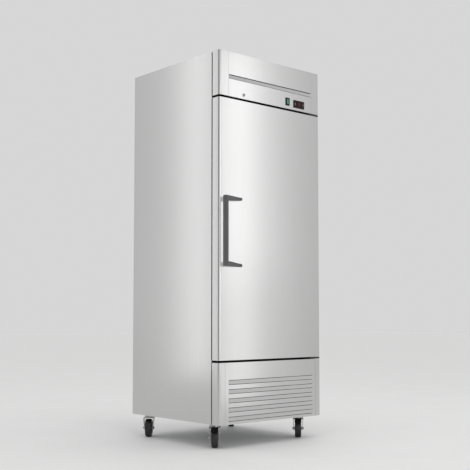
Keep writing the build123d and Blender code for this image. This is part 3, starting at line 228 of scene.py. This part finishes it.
BY_SLOT = {
    "stainless": "sheet", "galvanised": "galvanised", "liner": "liner", "insulation": "foam",
    "black_plastic": "black", "grey_plastic": "grey", "white_plastic": "pale", "display": "window",
    "green_lens": "green", "zinc": "zinc", "handle_grey": "handle", "black_nickel": "nickel",
    "bezel_plastic": "bezel",
    "gasket": "gasket", "wheel_black": "tyre", "shelf_wire": "wire", "coil": "fins", "copper": "copper",
    "compressor_black": "enamel", "lamp": "lamp",
}
BY_NODE = {"left_key": "key", "right_key": "key"}
for part in frame["record"]["subparts"]:
    obj = nodes[part["node"]]
    look = BY_NODE.get(part["node"], BY_SLOT[part["material_slot"]])
    obj.data.materials.clear()
    obj.data.materials.append(M[look])


# ---------------------------------------------------------------- detail pieces
def piece(name, vertices, faces, materials, smooth=False):
    """A mesh object in the part's own frame, in metres."""
    mesh = bpy.data.meshes.new(name)
    mesh.from_pydata([tuple(v) for v in vertices], [], faces)
    mesh.validate()
    mesh.update()
    for material in materials:
        mesh.materials.append(material)
    mesh.polygons.foreach_set("use_smooth", [smooth] * len(mesh.polygons))
    obj = bpy.data.objects.new(name, mesh)
    scene.collection.objects.link(obj)
    return obj


def prism(outline, y0, y1):
    """Vertices and faces of an upright outline in x and z, pulled out from y0 to y1."""
    n = len(outline)
    vertices = [(x, y, z) for y in (y0, y1) for x, z in outline]
    faces = [tuple(range(n)), tuple(range(2 * n - 1, n - 1, -1))]
    faces += [(i, i + n, (i + 1) % n + n, (i + 1) % n) for i in range(n)]
    return vertices, faces


def gather(shapes):
    """Several (vertices, faces) pairs as one."""
    vertices, faces = [], []
    for shape_vertices, shape_faces in shapes:
        start = len(vertices)
        vertices += shape_vertices
        faces += [tuple(start + i for i in face) for face in shape_faces]
    return vertices, faces


def lathe(name, profile, centre, axis, materials, split_radius, segments=72):
    """Closed ring from a profile of (radius, offset); outside split_radius it takes materials[0]."""
    turn = Vector((0, 0, 1)).rotation_difference(Vector(axis)).to_matrix()
    vertices, faces = [], []
    count = len(profile)
    for i in range(segments):
        angle = 2 * pi * i / segments
        for radius, offset in profile:
            place = Vector((radius * cos(angle), radius * sin(angle), offset))
            vertices.append(Vector(centre) + turn @ place)
        for j in range(count):
            after, step = (i + 1) % segments, (j + 1) % count
            faces.append((i * count + j, after * count + j, after * count + step, i * count + step))
    obj = piece(name, vertices, faces, materials, smooth=True)
    for face in obj.data.polygons:
        j = face.index % count
        middle = (profile[j][0] + profile[(j + 1) % count][0]) / 2
        face.material_index = 0 if middle > split_radius else 1
    return obj


# wheels: a tyre with rounded shoulders on a dished plastic hub
HALF_PROFILE = [
    (0.00515, 0.0195), (0.0108, 0.0195), (0.0118, 0.0185), (0.0124, 0.0130),
    (0.0150, 0.0098), (0.0300, 0.0090), (0.0335, 0.0105), (0.0352, 0.0150),
    (0.0372, 0.0162), (0.0385, 0.0155), (0.0402, 0.0168), (0.0438, 0.0178),
    (0.0470, 0.0172), (0.0489, 0.0150), (0.0498, 0.0110), (0.0500, 0.0040),
]
WHEEL_PROFILE = HALF_PROFILE + [(r, -h) for r, h in reversed(HALF_PROFILE)]
HUB_RADIUS = 0.0378
for joint in frame["record"]["behaviour"]["joints"]:
    if joint["name"].endswith("_roll"):
        wheel_name = joint["child"]
        looks = (M["tyre"], M["hub"])
        wheel = lathe(
            f"{wheel_name}_tyre", WHEEL_PROFILE, joint["pos_m"], joint["axis"], looks, HUB_RADIUS
        )
        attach(wheel, wheel_name)
        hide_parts(wheel_name)

# door gasket: bellows and magnet pocket, run round the door with mitred corners
low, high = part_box("door_gasket")
DART = 0.003
BELLOWS = [
    (0.0, 0.0), (0.0240, 0.0), (0.0240, 0.0022), (0.0205, DART),
    (0.0212, 0.0040), (0.0190, 0.0048), (0.0205, 0.0058), (0.0195, 0.0072),
    (0.0172, 0.0076), (0.0070, 0.0076), (0.0046, 0.0070), (0.0040, 0.0056),
    (0.0058, 0.0048), (0.0038, 0.0040), (0.0044, DART), (0.0, 0.0022),
]


def frame_sweep(low, high, profile):
    """A profile of (inwards, towards the back) run round an upright rectangle, mitred at its corners."""
    vertices, faces = [], []
    count = len(profile)
    corners = (
        (low.x, low.z, 1, 1), (high.x, low.z, -1, 1), (high.x, high.z, -1, -1), (low.x, high.z, 1, -1)
    )
    for i, (x, z, inwards_x, inwards_z) in enumerate(corners):
        for inwards, back in profile:
            vertices.append((x + inwards_x * inwards, low.y + back, z + inwards_z * inwards))
        for j in range(count):
            after, step = (i + 1) % 4, (j + 1) % count
            faces.append((i * count + j, i * count + step, after * count + step, after * count + j))
    return vertices, faces


gasket = piece("gasket_bellows", *frame_sweep(Vector(low), Vector(high), BELLOWS), [M["gasket"]])
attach(gasket, "door")
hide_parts("door_gasket")

# temperature on the display: a seven-segment digit and the degree ring
SEGMENTS = {
    "a": (0, 1, "-"), "b": (0.5, 0.5, "|"), "c": (0.5, -0.5, "|"), "d": (0, -1, "-"), "e": (-0.5, -0.5, "|"),
    "f": (-0.5, 0.5, "|"), "g": (0, 0, "-"),
}
DIGIT_W, DIGIT_H, STROKE, RELIEF = 0.0078, 0.015, 0.0022, 0.0004
DIGIT_X = -0.002
RING_X, RING_Z, RING_R, RING_HOLE, RING_POINTS = 0.0085, 0.0062, 0.0021, 0.0010, 16


def digit(x, y, z, lit, width, height, stroke):
    """The lit segments of one digit as thin bars with pointed ends."""
    shapes = []
    for key in lit:
        across, up, way = SEGMENTS[key]
        long = (width if way == "-" else height / 2) / 2 - stroke * 0.12
        short = stroke / 2
        bar = [(-long, 0), (-long + short, -short), (long - short, -short), (long, 0), (long - short, short),
               (-long + short, short)]
        if way == "|":
            bar = [(b, a) for a, b in bar]
        cx, cz = x + across * width, z + up * height / 2
        shapes.append(prism([(cx + a, cz + b) for a, b in bar], y, y + RELIEF))
    return shapes


low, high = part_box("controller_window")
middle, front = (Vector(low) + Vector(high)) / 2, low[1] - RELIEF
shapes = digit(middle.x + DIGIT_X, front, middle.z, "abgcd", DIGIT_W, DIGIT_H, STROKE)
turns = [2 * pi * i / RING_POINTS for i in range(RING_POINTS)]
circles = [
    [(middle.x + RING_X + r * cos(t), front, middle.z + RING_Z + r * sin(t)) for t in turns]
    for r in (RING_R, RING_HOLE)
]
around = [(i, (i + 1) % RING_POINTS) for i in range(RING_POINTS)]
shapes.append((circles[0] + circles[1], [(i, j, RING_POINTS + j, RING_POINTS + i) for i, j in around]))
digits = piece("display_digit", *gather(shapes), [M["digit"]])
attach(digits, "cabinet")

# arrow on each key
ARROW_W, ARROW_LOW, ARROW_HIGH, ARROW_OUT, ARROW_IN = 0.0022, 0.0016, 0.0026, 0.00015, 0.0002
for key, up in (("left_key", 1), ("right_key", -1)):
    low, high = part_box(key)
    x, z = (low[0] + high[0]) / 2, (low[2] + high[2]) / 2
    foot = z - ARROW_LOW * up
    arrow = [(x - ARROW_W, foot), (x + ARROW_W, foot), (x, z + ARROW_HIGH * up)]
    mark = piece(f"{key}_arrow", *prism(arrow, low[1] - ARROW_OUT, low[1] + ARROW_IN), [M["white_mark"]])
    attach(mark, key)


# ---------------------------------------------------------------- stage, light and camera
def flag(name, size, location, look_at):
    """Grey card that only shows in reflections."""
    width, height = size
    corners = [(-width / 2, -height / 2, 0), (width / 2, -height / 2, 0), (width / 2, height / 2, 0),
               (-width / 2, height / 2, 0)]
    obj = piece(name, corners, [(0, 1, 2, 3)], [M["grey_card"]])
    obj.location = location
    obj.rotation_euler = (Vector(look_at) - Vector(location)).to_track_quat("-Z", "Y").to_euler()
    obj.visible_camera = False
    obj.visible_shadow = False
    obj.visible_diffuse = False


def all_but(name, *left_out):
    """Collection for a light that leaves some objects alone."""
    group = bpy.data.collections.new(name)
    for obj in left_out:
        group.objects.link(obj)
    for entry in group.collection_objects:
        entry.light_linking.link_state = "EXCLUDE"
    return group


def card(name, size, location, look_at, power, lit=None):
    """Rectangular soft box that faces a point and lights everything, or only what lit says."""
    lamp = bpy.data.lights.new(name, "AREA")
    lamp.shape = "RECTANGLE"
    lamp.size, lamp.size_y = size
    lamp.energy = power
    obj = bpy.data.objects.new(name, lamp)
    scene.collection.objects.link(obj)
    obj.location = location
    obj.rotation_euler = (Vector(look_at) - Vector(location)).to_track_quat("-Z", "Y").to_euler()
    obj.visible_camera = False
    if lit:
        obj.light_linking.receiver_collection = lit
    return obj


FLOOR_SIZE = 60
bpy.ops.mesh.primitive_plane_add(size=FLOOR_SIZE, location=(0, 0, 0))
floor = bpy.context.object
floor.name = "floor"
ground = Shader("floor_pale")
patches = ground.spread(ground.noise(3.0), 0.0, 1.0)
ground.colour(ground.mix(patches, (0.92, 0.92, 0.915), (0.94, 0.94, 0.935)))
ground.roughness(ground.spread(ground.noise(8.0), 0.55, 0.7))
floor.data.materials.append(ground.mat)
not_floor = all_but("not_floor", floor)
not_handle = all_but("not_handle", floor, nodes["door_handle"])

world = bpy.data.worlds.new("studio")
scene.world = world
world.use_nodes = True
world.node_tree.nodes["Background"].inputs["Color"].default_value = (1, 1, 1, 1)
# the camera sees a background as bright as the far floor, so no horizon shows
STUDIO_LIGHT, STUDIO_SEEN = 0.72, 0.676
seen = world.node_tree.nodes.new("ShaderNodeLightPath")
level = world.node_tree.nodes.new("ShaderNodeMapRange")
level.inputs["To Min"].default_value = STUDIO_LIGHT
level.inputs["To Max"].default_value = STUDIO_SEEN
world.node_tree.links.new(seen.outputs["Is Camera Ray"], level.inputs["Value"])
world.node_tree.links.new(level.outputs["Result"], world.node_tree.nodes["Background"].inputs["Strength"])

# tall narrow cards that the sheets mirror: a bright band down the door and one down the side
DOOR_LEFT, DOOR_MIDDLE, SIDE = (-0.26, -0.36), (0.0, -0.36), (-0.37, -0.2)
card("key_front", (0.34, 2.15), (1.97, -2.9, 2.13), (*DOOR_LEFT, 1.5), 2.95, not_floor)
card("key_front_low", (0.285, 0.98), (1.09, -1.9, 0.51), (*DOOR_LEFT, 0.5), 0.58, not_floor)
card("key_fade", (0.55, 3.15), (2.37, -2.95, 1.63), (*DOOR_MIDDLE, 1.2), 1.2, not_floor)
card("key_side", (0.22, 3.5), (-2.915, 2.93, 1.8), (*SIDE, 1.2), 3.4, not_floor)
# broad cards: the rolled corners, and soft light from above
card("corner_fill", (3.6, 3.4), (-0.4, -5.8, 1.7), (-0.37, -0.36, 1.1), 52, not_handle)
card("overhead", (3.0, 3.0), (0.0, -1.0, 4.6), (0, 0, 0), 34)
flag("left_flag", (6.5, 5.0), (-6.2, -0.9, 2.4), (-0.37, -0.3, 1.2))

camera_data = bpy.data.cameras.new("camera")
camera = bpy.data.objects.new("camera", camera_data)
scene.collection.objects.link(camera)
scene.camera = camera
LENS, SENSOR, SHIFT_UP = 67.898, 36.0, 0.05
YAW, PITCH = 41.4622, 3.7285
camera_data.lens = LENS
camera_data.sensor_width = SENSOR
camera_data.shift_y = SHIFT_UP
camera.location = (-3.3608, -3.8582, 0.6865)
camera.rotation_euler = (radians(90 + PITCH), 0.0, radians(-YAW))

scene.view_settings.view_transform = "Standard"
scene.view_settings.look = "None"
